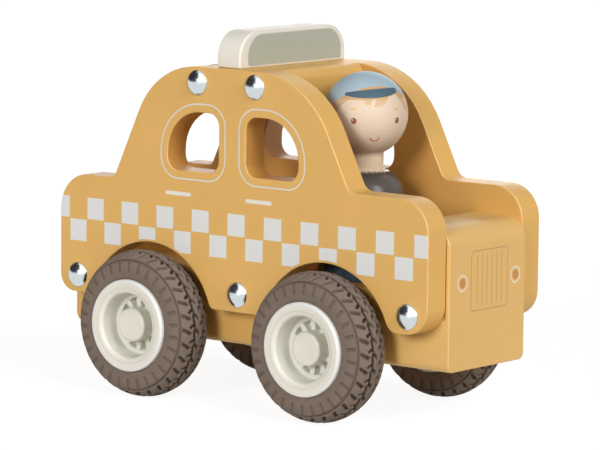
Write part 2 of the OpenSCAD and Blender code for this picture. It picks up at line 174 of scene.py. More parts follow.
def tint(mask, under, over):
    """Colour under, covered by colour over where mask is 1."""
    start = next(x for x in (mask, under, over) if isinstance(x, Wire))
    return start.node("ShaderNodeMix", {"data_type": "RGBA"},
                      {"Factor_Float": mask, "A_Color": under, "B_Color": over}, out=2)


print("the grey 128 of a screen is", round(srgb(128)[0], 3), "to a shader")

# %% [markdown]
# ## Where a point of paint lies
# Every piece keeps its place in its mesh, so Object coordinates are the car's own: x forward, y to the
# left, z up. In millimetres they let a print be written with the sizes that a ruler gives.

# %% Read a point, and start and close a finish
def new_finish(name):
    material = bpy.data.materials.new(name)
    material.use_nodes = True
    material.node_tree.nodes.clear()
    start = Wire(material.node_tree)
    spot = start.node("ShaderNodeVectorMath", {"operation": "SCALE"},
                      {"Vector": start.node("ShaderNodeTexCoord", out="Object"), "Scale": 1 / MM})
    return material, spot


def axes(spot):
    return [spot.node("ShaderNodeSeparateXYZ", values={"Vector": spot}, out=i) for i in range(3)]


def grain(spot, scale, detail=2.0, stretch=(1, 1, 1)):
    """Noise of about scale bumps a millimetre, from 0 to 1."""
    shaped = spot if stretch == (1, 1, 1) else spot.node(
        "ShaderNodeVectorMath", {"operation": "MULTIPLY"}, {0: spot, 1: stretch})
    return spot.node("ShaderNodeTexNoise", values={"Vector": shaped, "Scale": scale, "Detail": detail})


def close_finish(spot, relief, depth, **values):
    """Ends a finish in one Principled shader, with relief of this depth in millimetres as its bump."""
    values["Normal"] = spot.node("ShaderNodeBump", values={
        "Strength": 1.0, "Distance": depth * MM, "Height": relief})
    named = {key.replace("_", " "): value for key, value in values.items()}
    shader = spot.node("ShaderNodeBsdfPrincipled", values=named)
    spot.node("ShaderNodeOutputMaterial", values={"Surface": shader})


print("a finish reads Object coordinates times", 1 / MM)

# %% [markdown]
# ## The studio
# A toy is shot for a shop on a white sweep under large soft boxes. A plain pale floor lies under the
# wheels and keeps their shadow. Lens, metal and glass see floor and room almost white, and all other
# rays see them dimmer, so that no lamp has to burn the paint out. The dim room is orange, as the light
# is that painted boards throw at each other.

# %% Lay the floor in a white room
def white_for_lens(tree, dim, bright):
    """Shows bright to the rays of lens, metal and glass, and dim to all others."""
    start = Wire(tree)
    seen = (start.node("ShaderNodeLightPath", out="Is Camera Ray")
            | start.node("ShaderNodeLightPath", out="Is Glossy Ray")
            | start.node("ShaderNodeLightPath", out="Is Transmission Ray"))
    return start.node("ShaderNodeMixShader", values={0: seen, 1: dim, 2: bright})


WHITE = (1, 1, 1, 1)
FLOOR_SIZE = 14  # in metres

world = bpy.data.worlds.new("white_room")
bpy.context.scene.world = world
world.use_nodes = True
world.node_tree.nodes.clear()
room = Wire(world.node_tree)
room.node("ShaderNodeOutputWorld", values={"Surface": white_for_lens(
    world.node_tree,
    room.node("ShaderNodeBackground", values={"Color": (1, 0.64, 0.26, 1), "Strength": 0.07}),
    room.node("ShaderNodeBackground", values={"Color": WHITE, "Strength": 1.0}))})

floor_paint = bpy.data.materials.new("pale_floor")
floor_paint.use_nodes = True
floor_paint.node_tree.nodes.clear()
ground = Wire(floor_paint.node_tree)
matt = ground.node("ShaderNodeBsdfDiffuse", values={"Color": (0.8, 0.76, 0.7, 1)})
lifted = ground.node("ShaderNodeAddShader", values={
    0: ground.node("ShaderNodeBsdfDiffuse", values={"Color": (0.2, 0.2, 0.2, 1)}),
    1: ground.node("ShaderNodeEmission", values={"Color": WHITE, "Strength": 0.91})})
ground.node("ShaderNodeOutputMaterial",
            values={"Surface": white_for_lens(floor_paint.node_tree, matt, lifted)})

bpy.ops.mesh.primitive_plane_add(size=FLOOR_SIZE)
card = bpy.context.active_object
card.name = "pale_floor"
card.data.materials.append(floor_paint)
print("floor of", FLOOR_SIZE, "m laid in", world.name)

# %% [markdown]
# Three lights stand round the car. A low one faces the printed side, a wide one hangs ahead of the nose,
# and a weak one from behind gives the far edges their rim. Area lamps would fall off along the car, so
# suns with a wide disc are used: they are as even as a soft box that is far larger than the toy.

# %% Hang the light
LIGHTS = (  # name, where it comes from, strength, width of its disc in degrees
    ("side_light", (0.14, -0.95, 0.3), 1.78, 18),
    ("front_light", (0.84, -0.2, 0.48), 2.08, 34),
    ("back_light", (-0.55, 0.8, 0.22), 1.0, 40),
)
for name, come_from, strength, spread in LIGHTS:
    data = bpy.data.lights.new(name, "SUN")
    data.energy, data.angle = strength, math.radians(spread)
    lamp = bpy.data.objects.new(name, data)
    lamp.rotation_euler = (-Vector(come_from)).to_track_quat("-Z", "Y").to_euler()
    bpy.context.scene.collection.objects.link(lamp)
print("soft lights:", len(bpy.data.lights))

# %% [markdown]
# Polished metal only looks like metal if it has something dark and something bright to show. Two dark
# screens stand to the left, as the unlit half of a real studio does, and a white soft box stands beside
# them with its edge on the same slanted line. They are hidden from every ray but those that leave a
# glossy surface, so they neither light the car nor shade it.

# %% Stand screens and a soft box for the metal
def mirror_card(name, colour, glow, *corners):
    """A card that only shows in glossy surfaces."""
    finish = bpy.data.materials.new(name)
    finish.use_nodes = True
    finish.node_tree.nodes.clear()
    cloth = Wire(finish.node_tree)
    cloth.node("ShaderNodeOutputMaterial", values={"Surface": cloth.node(
        "ShaderNodeEmission", values={"Color": colour, "Strength": glow})})
    mesh = bpy.data.meshes.new(name)
    mesh.from_pydata(corners, [], [range(len(corners))])
    mesh.materials.append(finish)
    card = bpy.data.objects.new(name, mesh)
    bpy.context.scene.collection.objects.link(card)
    card.visible_camera = card.visible_diffuse = card.visible_shadow = card.visible_transmission = False


DARK_CLOTH = srgb(58, 56, 64)
low, high, near, left, right = 0.25, 4.1, -1.6, -2.2, 4.0
seam_low, seam_high = (0.46, near, low), (-1.1, near, high)
mirror_card("dark_screen", DARK_CLOTH, 1.0,
            seam_low, seam_high, (left, near, high), (left, near, low))
mirror_card("dark_wing", DARK_CLOTH, 1.0,
            (left, near, low), (left, near, high), (left, -left, high), (left, -left, low))
mirror_card("soft_box", WHITE, 1.7, seam_low, (right, near, low), (right, near, high), seam_high)
print("cards for the metal stand", -near, "m off")

# %% [markdown]
# ## Sawn wood with eased edges
# The panels, blocks, roof board and sign are cut from flat board and sanded, so no edge is truly
# sharp. A packed mesh is loose triangles; a copy is merged, its flat triangles are joined to whole
# faces, and a Bevel then rounds only the edges that turn sharply. The packed node itself stays as it is.

# %% Copy a node, and hand a finished mesh to its body
def merged_copy(node):
    source = frame["nodes"][node].data
    mesh = bpy.data.meshes.new(node + "_copy")
    mesh.from_pydata([v.co[:] for v in source.vertices], [], [p.vertices[:] for p in source.polygons])
    shape = bmesh.new()
    shape.from_mesh(mesh)
    bmesh.ops.remove_doubles(shape, verts=shape.verts, dist=1e-6)
    bmesh.ops.dissolve_limit(shape, angle_limit=math.radians(0.3), verts=shape.verts, edges=shape.edges)
    shape.to_mesh(mesh)
    shape.free()
    mesh.shade_smooth()
    return mesh


def hand_over(mesh, name, finish, *nodes):
    """Makes mesh a piece that stands for these nodes, with this finish and on their body."""
    piece = bpy.data.objects.new(name, mesh)
    bpy.context.scene.collection.objects.link(piece)
    mesh.materials.clear()
    mesh.materials.append(finish)
    subpart = next(s for s in frame["record"]["subparts"] if s["node"] == nodes[0])
    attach(piece, frame["nodes"][nodes[0]]["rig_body"])
    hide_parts(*nodes)
    return piece


# %% [markdown]
# Nose, floor and tail meet flush in one long block, and their joints are glued tight. An edge that lies
# in such a joint is not rounded; it is marked sharp instead, so that smooth shading does not run a
# false shadow across the flat side.

# %% Ease the edges of a piece
SEAMS = (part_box("nose_block")[0].x / MM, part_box("tail_block")[1].x / MM)
SEAM_REACH = 0.05


def ease(piece, radius, angle=40, segments=3, seams=()):
    """Rounds every edge that turns more than angle, but leaves those tight that lie at a seam in x."""
    shape = bmesh.new()
    shape.from_mesh(piece.data)
    weight = shape.edges.layers.float.new("bevel_weight_edge")
    for edge in shape.edges:
        at_seam = any(all(abs(v.co.x - x * MM) < SEAM_REACH * MM for v in edge.verts) for x in seams)
        turns = edge.calc_face_angle(0) > math.radians(angle)
        edge[weight] = float(turns and not at_seam)
        edge.smooth = not (turns and at_seam)
    shape.to_mesh(piece.data)
    shape.free()
    bevel = piece.modifiers.new("eased_edges", "BEVEL")
    bevel.width, bevel.segments, bevel.limit_method = radius * MM, segments, "WEIGHT"
    bevel.use_clamp_overlap = False
    cut = piece.modifiers.new("even_triangles", "TRIANGULATE")
    cut.quad_method = cut.ngon_method = "BEAUTY"
    flat = piece.modifiers.new("flat_faces", "WEIGHTED_NORMAL")
    flat.weight, flat.keep_sharp = 100, True
    return piece


print("glued joints at x =", [round(x, 1) for x in SEAMS])

# %% [markdown]
# ## Mustard paint
# The wood carries an opaque satin paint. Close up it is a fine orange-peel with a slow drift in tone,
# a few dark specks of dust, and a paler line along each eased edge, partly where the paint is thinnest
# and partly a painted highlight. One function makes that coat, and each piece adds its own print
# before it is closed.

# %% Mix the mustard coat
MUSTARD, NOSE_MUSTARD = srgb(217, 170, 84), srgb(219, 177, 101)
# the pale tone of the orange-peel, also used for the edge line, which is partly a painted highlight
PALE_PEEL_AND_EDGE_HIGHLIGHT, DUST = srgb(233, 194, 146), srgb(150, 108, 55)


def mustard_coat(spot, colour=MUSTARD):
    """The coat's colour and its relief."""
    drift = grain(spot, 0.035, 3.0)
    peel = grain(spot, 2.2, 2.0)
    specks = spot.node("ShaderNodeTexVoronoi", values={"Vector": spot, "Scale": 0.14})
    darker, lighter = (tuple(c * share for c in colour[:3]) + (1.0,) for share in (0.95, 1.05))
    tone = tint(0.12 * peel, tint(drift, darker, lighter), PALE_PEEL_AND_EDGE_HIGHLIGHT)
    return tint(0.45 * below(specks, 0.035, 0.03), tone, DUST), peel


def close_mustard(spot, colour, peel):
    close_finish(spot, peel, 0.03, Base_Color=colour, Roughness=0.44 + 0.14 * grain(spot, 0.4),
                 Specular_IOR_Level=0.7)


print("mustard in a shader's own values:", [round(c, 3) for c in MUSTARD[:3]])

# %% [markdown]
# ## The printed side
# Pale ink is printed on each panel: two rows of checks along the car, a thin line round each window
# and a bar for each door handle. A picture could be laid on, but the marks follow rules, so sums of
# x and z draw them sharp at any distance, and the same sums serve both sides.

# %% Draw the checks, the window lines and the handles
HUBS = {"front": 45.0, "rear": -46.8}  # places of the axles along x
TYRE_R = 30.5                          # radius of the tyres, and so the height of the axles
CHECK_PITCH, CHECK_SQUARE = 9.5, 9.06


def from_hubs(x, z):
    """Distance from the nearer axle."""
    return length(x - HUBS["front"], z - TYRE_R) & length(x - HUBS["rear"], z - TYRE_R)


def check_rows(x, z):
    """Two rows of squares that take turns above and below one line and stop short of the arches."""
    first, middle, half_gap, arch_r, soft = 8.57, 70.12, 0.22, 34.4, 0.2
    place = x / CHECK_PITCH + first
    cell = place.floor()
    along = within((place - cell) * CHECK_PITCH, 0.0, CHECK_SQUARE, soft)
    odd = (cell / 2 - (cell / 2).floor()) * 2
    upper = within(z, middle + half_gap, middle + half_gap + CHECK_SQUARE, soft) * (1 - odd)
    lower = within(z, middle - half_gap - CHECK_SQUARE, middle - half_gap, soft) * odd
    return along * (upper | lower) * above(from_hubs(x, z), arch_r, 0.3)


def window_lines(x, z):
    """Distance from the line round a window. The two windows are mirror images about the post."""
    post_x, half_post, sill_z = -3.4, 7.1, 95.0
    middle_u, middle_v, straight_u, straight_v, corner = 13.6, 12.2, 8.1, 6.7, 8.9
    brow_u, brow_v, brow_r = 10.2, 7.4, 20.4
    u, v = abs(x - post_x) - half_post, z - sill_z
    plain = length((abs(u - middle_u) - straight_u) | 0.0,
                   (abs(v - middle_v) - straight_v) | 0.0) - corner
    brow = length((u - brow_u) | 0.0, (v - brow_v) | 0.0) - brow_r
    return abs(plain | brow)


def handle_bars(x, z):
    rear_x, front_x, level_z, half_l, half_h = -31.8, 10.7, 85.3, 6.0, 0.8
    past_end = (abs(x - rear_x) & abs(x - front_x)) - half_l
    return below(length(past_end | 0.0, z - level_z), half_h, 0.25)


print("a check of", CHECK_SQUARE, "mm every", CHECK_PITCH, "mm")

# %% [markdown]
# The paint is laid on in the order of a workshop. First comes the coat, chipped there in places, with a
# paler line along the edges that is partly thinner paint and partly a painted highlight, and a painted
# shade in the slit beside the nose. The inner faces and the cuts of the windows see little but other
# painted boards. The light that these throw at each other is orange, and a deeper, darker coat is
# painted there as shade and bounced light.

# %% Paint the wood of the panels
INNER, OUTER = 25.5, 37.5  # the two faces of a panel, off the car's middle
CHIP, SLIT_SHADE = srgb(238, 214, 180), srgb(128, 80, 30)
INNER_FACE_SHADE, DEEP_CAB_SHADE, WINDOW_CUT_SHADE = srgb(198, 142, 60), srgb(190, 122, 36), srgb(198, 122, 38)

panel_paint, spot = new_finish("mustard_panel")
x, y, z = axes(spot)
side = abs(y)
coat, peel = mustard_coat(spot)
# painted highlight, partly thinner paint: a paler line along the eased edges of both faces
edge = within(side, OUTER - 0.5, OUTER - 0.05, 0.2) | within(side, INNER + 0.05, INNER + 0.5, 0.2)
coat = tint(0.2 * edge, coat, PALE_PEEL_AND_EDGE_HIGHLIGHT)
chips = within(side, OUTER - 0.55, OUTER - 0.12, 0.08) * above(grain(spot, 0.7, 3.0), 0.63, 0.06)
coat = tint(0.6 * chips, coat, CHIP)
# painted shade: a dark line in the slit beside the nose
beside_nose = above(x, 74.0) * below(z, 74.0, 4.0)
coat = tint(0.75 * within(side, INNER + 0.06, INNER + 0.35, 0.06) * beside_nose, coat, SLIT_SHADE)

# painted shade and bounced light: a deeper orange on the inner faces, deeper still towards the cab and in
# the cuts of the windows
inner = below(side, INNER + 0.12, 0.1)
coat = tint(0.3 * inner, coat, INNER_FACE_SHADE)
coat = tint(0.45 * inner * below(x, 62.0, 30.0), coat, DEEP_CAB_SHADE)
round_windows = within(x, -42.0, 38.0) * within(z, 88.0, 124.0)
coat = tint(0.42 * within(side, INNER + 0.2, OUTER - 0.4, 0.4) * round_windows, coat, WINDOW_CUT_SHADE)
print("a panel is", OUTER - INNER, "mm thick")

# %% [markdown]
# The ink goes on the outer face last. A fine noise thins it, so that some of the coat shows through as
# it does in worn print, and a faint painted shadow lies round the line round a window.

# %% Print the ink on the panels
CHECK_INK, LINE_INK, HANDLE_INK = srgb(220, 227, 232), srgb(220, 217, 203), srgb(229, 229, 226)
LINE_SHADOW = srgb(176, 132, 68)

face = above(side, OUTER - 0.08, 0.1)
ink = face * (1 - 0.22 * grain(spot, 1.6, 3.0))
line = window_lines(x, z)
coat = tint(ink * check_rows(x, z), coat, CHECK_INK)
# painted shadow: a faint dark rim round the line round a window
coat = tint(0.35 * face * below(line, 0.62, 0.25), coat, LINE_SHADOW)
coat = tint(ink * below(line, 0.38, 0.2), coat, LINE_INK)
coat = tint(ink * handle_bars(x, z), coat, HANDLE_INK)
close_mustard(spot, coat, peel)

for flank in ("right", "left"):
    node = "side_panel_" + flank
    panel = ease(hand_over(merged_copy(node), "panel_" + flank, panel_paint, node), 0.5)
    print(panel.name, "has", len(panel.data.polygons), "faces before its edges are eased")

# %% [markdown]
# ## The nose
# The front block has a printed grille and two lamps in the same thin ink. They lie on the face alone,
# so the sums only count where x is at the very front, and the rounded edges stay bare of ink; they get
# a faint painted highlight. The slit beside each panel gets the same painted shade as the panel has.

# %% Print the grille and the lamps
def ring(distance, radius, thick):
    return below(abs(distance - radius), thick / 2, 0.25)


GRILLE_INK, LAMP_RING, LAMP_GLASS = srgb(186, 138, 84), srgb(228, 214, 184), srgb(196, 131, 66)
nose_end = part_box("nose_block")[1].x / MM
panel_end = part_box("side_panel_right")[1].x / MM

nose_paint, spot = new_finish("mustard_nose")
x, y, z = axes(spot)
coat, peel = mustard_coat(spot, NOSE_MUSTARD)
front = above(x, nose_end - 0.1, 0.1)

grille_y, grille_z, half_y, half_z, corner = 1.12, 58.85, 12.2, 11.95, 2.0
off_y, off_z = abs(y - grille_y), abs(z - grille_z)
outline = length((off_y - half_y + corner) | 0.0, (off_z - half_z + corner) | 0.0)
bar_pitch, bars_y, bars_z = 3.26, 9.8, 10.2
place = (y - grille_y) / bar_pitch
from_bar = abs(place - place.floor() - 0.5) * bar_pitch
bars = below(from_bar, 0.21, 0.2) * below(off_z, bars_z, 0.2) * below(off_y, bars_y, 0.2)
coat = tint(front * (ring(outline, corner, 0.42) | bars), coat, GRILLE_INK)

lamps_y, lamps_apart, lamps_z, lamp_r = 0.98, 17.83, 58.75, 3.08
from_lamp = length(abs(y - lamps_y) - lamps_apart, z - lamps_z)
coat = tint(front * ring(from_lamp, lamp_r, 0.8), coat, LAMP_RING)
coat = tint(front * below(from_lamp, 2.0, 0.5), coat, LAMP_GLASS)

# painted highlight: a faint paler line on the front edges of the nose
edge = within(abs(y), INNER - 0.9, INNER - 0.05, 0.3) * above(x, nose_end - 1.2, 0.3)
# painted shade: a dark line in the slit beside each panel
slit_shade_mask = above(abs(y), INNER - 0.1, 0.1) * below(x, panel_end + 0.3, 0.4) * within(z, 45.0, 77.0, 2.0)
coat = tint(0.75 * slit_shade_mask, tint(0.05 * edge, coat, PALE_PEEL_AND_EDGE_HIGHLIGHT), SLIT_SHADE)
close_mustard(spot, coat, peel)

ease(hand_over(merged_copy("nose_block"), "nose", nose_paint, "nose_block"), 0.5, seams=SEAMS)
print("nose reaches", round(nose_end - panel_end, 1), "mm past the panels")

# %% [markdown]
# ## The plain blocks
# The floor, tail and roof board are only painted. They are seen from behind, above and below, so they
# get the same coat as the panels and eased edges a little rounder than theirs.

# %% Paint the floor, the tail and the roof board
block_paint, spot = new_finish("mustard_block")
coat, peel = mustard_coat(spot)
close_mustard(spot, coat, peel)
for node, name in (("floor_block", "floor_board"), ("tail_block", "tail"), ("roof_board", "roof")):
    ease(hand_over(merged_copy(node), name, block_paint, node), 0.8, seams=SEAMS)
    print(name, "replaces", node)

# %% [markdown]
# ## The roof sign
# The sign is a cream block with a field of sage green on its front and back. The field follows the
# block's outline, so it is one distance to a shape with two large corners above and two small ones
# below, and a fine grain breaks its green.

# %% Paint the sign
sign_paint, spot = new_finish("cream_sign")
x, y, z = axes(spot)
sign_x, half_t, field_y, field_z = -8.2, 6.1, 1.1, 138.0
arch_y, arch_z, arch_r = 21.4, 4.6, 9.0
toe_y, toe_z, toe_r = 28.9, 2.4, 1.5
off_y = abs(y - field_y)
arch = length((off_y - arch_y) | 0.0, (z - field_z - arch_z) | 0.0) - arch_r
toe = length((off_y - toe_y) | 0.0, (field_z + toe_z - z) | 0.0) - toe_r
field = below(arch | toe, 0.0, 0.3) * above(abs(x - sign_x), half_t - 0.06, 0.05)
fleck = grain(spot, 1.8, 4.0)
cream = tint(grain(spot, 0.05, 3.0), srgb(226, 223, 213), srgb(235, 232, 224))
sage = tint(fleck, srgb(163, 168, 154), srgb(187, 191, 178))
close_finish(spot, fleck, 0.03, Base_Color=tint(field, cream, sage), Roughness=0.45 + 0.15 * fleck,
             Specular_IOR_Level=0.4)
ease(hand_over(merged_copy("roof_sign"), "sign", sign_paint, "roof_sign"), 1.0)

# %% [markdown]
# ## Hidden rods
# Two beech dowels hold the sign and a drawn steel rod carries each pair of wheels. Their packed shapes
# are right, so they stay and only get a finish: grain along the dowels, fine lines along the rods.

# %% Finish the dowels and the axles
def paint_node(node, finish):
    frame["nodes"][node].data.materials.clear()
    frame["nodes"][node].data.materials.append(finish)
    print(node, "is finished as", finish.name)


beech, spot = new_finish("beech_dowel")
rays = grain(spot, 1.2, 4.0, (1, 1, 0.08))
close_finish(spot, rays, 0.05, Base_Color=tint(rays, srgb(196, 158, 112), srgb(226, 194, 150)),
             Roughness=0.55 + 0.2 * rays)
paint_node("sign_dowels", beech)

steel, spot = new_finish("drawn_steel")
draw = grain(spot, 3.0, 3.0, (1, 0.03, 1))
close_finish(spot, draw, 0.01, Base_Color=tint(draw, srgb(140, 142, 146), srgb(182, 184, 188)),
             Roughness=0.25 + 0.2 * draw, Metallic=1.0)
paint_node("front_axle", steel)
paint_node("rear_axle", steel)

# %% [markdown]
# ## Trees that repeat a shape
# Bolts and tyre lugs are one shape, many times over. Geometry Nodes put a small mesh on points that
# follow a rule; the tree ends in plain geometry with its material, because instances are not kept.

# %% Start a tree, end it, and turn what it grows into a mesh
JOIN_WITHIN = 0.02


def new_tree(name, **inputs):
    """A tree with a Geometry input, these named inputs and one Geometry output."""
    tree = bpy.data.node_groups.new(name, "GeometryNodeTree")
    sockets = {"Geometry": "NodeSocketGeometry", **inputs}
    ids = {label: tree.interface.new_socket(label, in_out="INPUT", socket_type=kind).identifier
           for label, kind in sockets.items()}
    tree.interface.new_socket("Geometry", in_out="OUTPUT", socket_type="NodeSocketGeometry")
    start = Wire(tree)
    return tree, ids, {label: start.node("NodeGroupInput", out=label) for label in sockets}


def end_tree(places, shape, material, turn=(0, 0, 0)):
    """Puts shape on every place, then makes it plain, joins its seams, smooths and paints it."""
    laid = places.node("GeometryNodeInstanceOnPoints", values={
        "Points": places, "Instance": shape, "Rotation": turn})
    plain = places.node("GeometryNodeRealizeInstances", values={"Geometry": laid})
    joined = places.node("GeometryNodeMergeByDistance", values={
        "Geometry": plain, "Distance": JOIN_WITHIN * MM})
    smooth = places.node("GeometryNodeSetShadeSmooth", values={"Geometry": joined})
    painted = places.node("GeometryNodeSetMaterial", values={"Geometry": smooth, "Material": material})
    places.node("NodeGroupOutput", values={0: painted})


def grow(mesh, tree, ids, **values):
    seed = bpy.data.objects.new("seed", mesh)
    bpy.context.scene.collection.objects.link(seed)
    modifier = seed.modifiers.new(tree.name, "NODES")
    modifier.node_group = tree
    for label, value in values.items():
        modifier[ids[label]] = value
    grown = bpy.data.meshes.new_from_object(seed.evaluated_get(bpy.context.evaluated_depsgraph_get()))
    bpy.data.objects.remove(seed)
    return grown


print("repeats are joined where they meet within", JOIN_WITHIN, "mm")

# %% [markdown]
# ## A lathe
# The bolts and the driver are round about one axis. A Screw modifier could turn a line into them, but
# it leaves a seam and open poles, so a short function closes both as it goes.

# %% Turn a profile
def lathe(profile, turns, point):
    """A closed mesh: profile, pairs of radius and height from pole to pole, turned about one axis.
    point gives the place of (across, over, height)."""
    shape = bmesh.new()
    angles = [2 * math.pi * i / turns for i in range(turns)]
    rows = []
    for radius, height in profile:
        if radius == 0:
            rows.append([shape.verts.new(point(0, 0, height))] * turns)
        else:
            rows.append([shape.verts.new(point(radius * math.cos(a), radius * math.sin(a), height))
                         for a in angles])
    for low, high in zip(rows, rows[1:]):
        for i in range(turns):
            j = (i + 1) % turns
            shape.faces.new(dict.fromkeys((low[i], low[j], high[j], high[i])))
    bmesh.ops.recalc_face_normals(shape, faces=shape.faces)
    mesh = bpy.data.meshes.new("turned")
    shape.to_mesh(mesh)
    shape.free()
    mesh.shade_smooth()
    print("turned", len(mesh.vertices), "points")
    return mesh


# %% [markdown]
# ## Dome bolts
# Five polished domes hold each side, three along the sill and two at the roof. One dome with its shank
# is turned on the lathe, and two short lines of points repeat it.

# %% Polish the chrome and draw one bolt
chrome, spot = new_finish("polished_dome")
scuff = grain(spot, 1.5, 3.0)
close_finish(spot, scuff, 0.001, Base_Color=tint(scuff, srgb(198, 207, 210), srgb(214, 221, 223)),
             Roughness=0.15 + 0.08 * scuff, Metallic=1.0)

dome_r, dome_h, skirt, shank_r, shank_l, dome_rows = 5.25, 3.0, 0.35, 2.5, 26.0, 16
ball = (dome_r ** 2 + (dome_h - skirt) ** 2) / (2 * (dome_h - skirt))
reach = math.asin(dome_r / ball)
bolt_profile = [(ball * math.sin(a), dome_h - ball * (1 - math.cos(a)))
                for a in (reach * i / dome_rows for i in range(dome_rows + 1))]
bolt_profile += [(dome_r, 0), (shank_r, 0), (shank_r, -shank_l), (0, -shank_l)]
print("a dome is part of a ball of", round(ball, 2), "mm radius")

# %% [markdown]
# The domes stand at even steps, so the tree only needs the start and the step of each line. They are
# its inputs, and the same tree serves both sides of the car.

# %% Repeat the bolt along sill and roof
SILL_COUNT, SILL_X, SILL_Z, SILL_STEP = 3, -86.5, 46.5, 86.5
ROOF_COUNT, ROOF_X, ROOF_Z, ROOF_STEP = 2, -22.05, 131.5, 30.1

bolts, ids, given = new_tree("bolt_rows", Sill="NodeSocketVector", Sill_Step="NodeSocketVector",
                             Roof="NodeSocketVector", Roof_Step="NodeSocketVector",
                             Metal="NodeSocketMaterial")
start = Wire(bolts)
sill = start.node("GeometryNodeMeshLine", {"mode": "OFFSET"}, {
    "Count": SILL_COUNT, "Start Location": given["Sill"], "Offset": given["Sill_Step"]})
roof = start.node("GeometryNodeMeshLine", {"mode": "OFFSET"}, {
    "Count": ROOF_COUNT, "Start Location": given["Roof"], "Offset": given["Roof_Step"]})
both = start.node("GeometryNodeJoinGeometry", values={0: sill})
bolts.links.new(roof.socket, both.socket.node.inputs[0])
end_tree(both, given["Geometry"], given["Metal"])

for flank, out in (("right", -1), ("left", 1)):
    bolt = lathe(bolt_profile, 64, lambda u, v, h: (u * MM, out * h * MM, v * MM))
    mesh = grow(bolt, bolts, ids, Metal=chrome,
                Sill=(SILL_X * MM, out * OUTER * MM, SILL_Z * MM), Sill_Step=(SILL_STEP * MM, 0, 0),
                Roof=(ROOF_X * MM, out * OUTER * MM, ROOF_Z * MM), Roof_Step=(ROOF_STEP * MM, 0, 0))
    mesh.set_sharp_from_angle(angle=math.radians(50))
    hand_over(mesh, "bolts_" + flank, chrome, "dome_bolts_" + flank)
    print("bolts", flank, len(mesh.polygons), "faces")

# %% [markdown]
# ## Ivory rims
# Each rim is one moulding: a broad lip, a bowl, a hub and eleven spokes with openings between them. The
# packed shape has all of these, so a merged copy only gets the small radii that a mould leaves. A faint
# darker ring of painted shade runs round the lip at its small step, and its outer edge is painted a
# colder white as a painted highlight.

# %% Ease and colour the rims
CORNERS = [(end, flank) for end in ("front", "rear") for flank in ("right", "left")]

ivory, spot = new_finish("ivory_rim")
x, y, z = axes(spot)
from_hub = from_hubs(x, z)
skin = grain(spot, 3.0, 2.0)
moulded = tint(grain(spot, 0.08, 3.0), srgb(222, 221, 210), srgb(229, 228, 219))
# painted highlight: the outer edge of the lip a colder white
lip_edge_highlight = above(from_hub, 17.7, 0.6)
moulded = tint(0.6 * lip_edge_highlight, moulded, srgb(228, 231, 234))
# painted shade: a faint darker ring at the small step in the lip
lip_step_shade = within(from_hub, 15.2, 16.0, 0.6) * above(abs(y), 51.0, 0.3)
moulded = tint(0.32 * lip_step_shade, moulded, srgb(190, 186, 168))
close_finish(spot, skin, 0.012, Base_Color=moulded, Roughness=0.36 + 0.1 * skin, Specular_IOR_Level=0.5)

for end, flank in CORNERS:
    node = f"rim_{end}_{flank}"
    wheel_rim = ease(hand_over(merged_copy(node), "moulded_" + node, ivory, node), 0.35, 45, 2)
    print(wheel_rim.name, len(wheel_rim.data.polygons), "faces")

# %% [markdown]
# ## Rubber tyres
# A tyre's tread is one pitch of moulded pattern, thirty times round: a slanted slot to the shoulder, a
# wavy groove beside the middle rib with a branch to each side, and a short slot in the sidewall. One
# pitch is a grid laid over the tyre's section and pushed in where the pattern is; a tree turns it about
# the axle. The depth is kept with each point as well, to darken the grooves with painted shade and dust.

# %% Write the pattern of one pitch
LUGS = 30
PITCH = 2 * math.pi * TYRE_R / LUGS
DEEPEST = 1.7
TREAD_BARS = (  # two ends as (round the tyre, across it), radius, depth at each end
    ((-1.05, 4.75), (1.0, 8.0), 0.66, 1.3, 0.8),
    ((0.9, 2.2), (-0.6, 2.85), 0.62, DEEPEST, DEEPEST),
    ((-0.6, 2.85), (0.9 - PITCH, 2.2), 0.58, DEEPEST, DEEPEST),
    ((0.85, 2.3), (-1.1, 0.35), 0.56, DEEPEST, 1.1),
    ((2.9, 2.5), (1.7, 4.3), 0.55, 1.5, DEEPEST),
)
WALL_SLOT = ((0, 23.0), (0, 25.7), 0.6)  # two ends as (round the tyre, out from the axle), radius
TREAD_SLOPE, WALL_SLOPE = 0.35, 0.32     # how wide the side of a cut is


def cut_share(p, a, b, radius, slope):
    """Share of the full depth at p in a cut from a to b, and how far along the cut p lies."""
    p, a, b = Vector(p), Vector(a), Vector(b)
    along = max(0.0, min(1.0, (p - a).dot(b - a) / (b - a).length_squared))
    off = (p - a - (b - a) * along).length
    return max(0.0, min(1.0, 0.5 - (off - radius) / slope)), along


def tread_depth(turn, across):
    depth = 0.0
    for a, b, radius, deep_a, deep_b in TREAD_BARS:
        for k in (-1, 0, 1):
            cut, along = cut_share((turn + k * PITCH, across), a, b, radius, TREAD_SLOPE)
            depth = max(depth, cut * (deep_a + (deep_b - deep_a) * along))
    return depth


def wall_cut(turn, radius):
    """Share of the full depth in the sidewall's slot, half a pitch on from the tread's."""
    arc = (turn / PITCH - 0.5) * 2 * math.pi * radius / LUGS
    return cut_share((arc, radius), *WALL_SLOT, WALL_SLOPE)[0]


print("one pitch is", round(PITCH, 2), "mm of tread with", len(TREAD_BARS), "cuts")

# %% [markdown]
# The section runs from the middle of the tread out over the shoulder, into the crease, down the bulging
# sidewall and in to the bead. Rows lie closer where the pattern turns: at the ends of the sidewall's
# slots and in the crease.

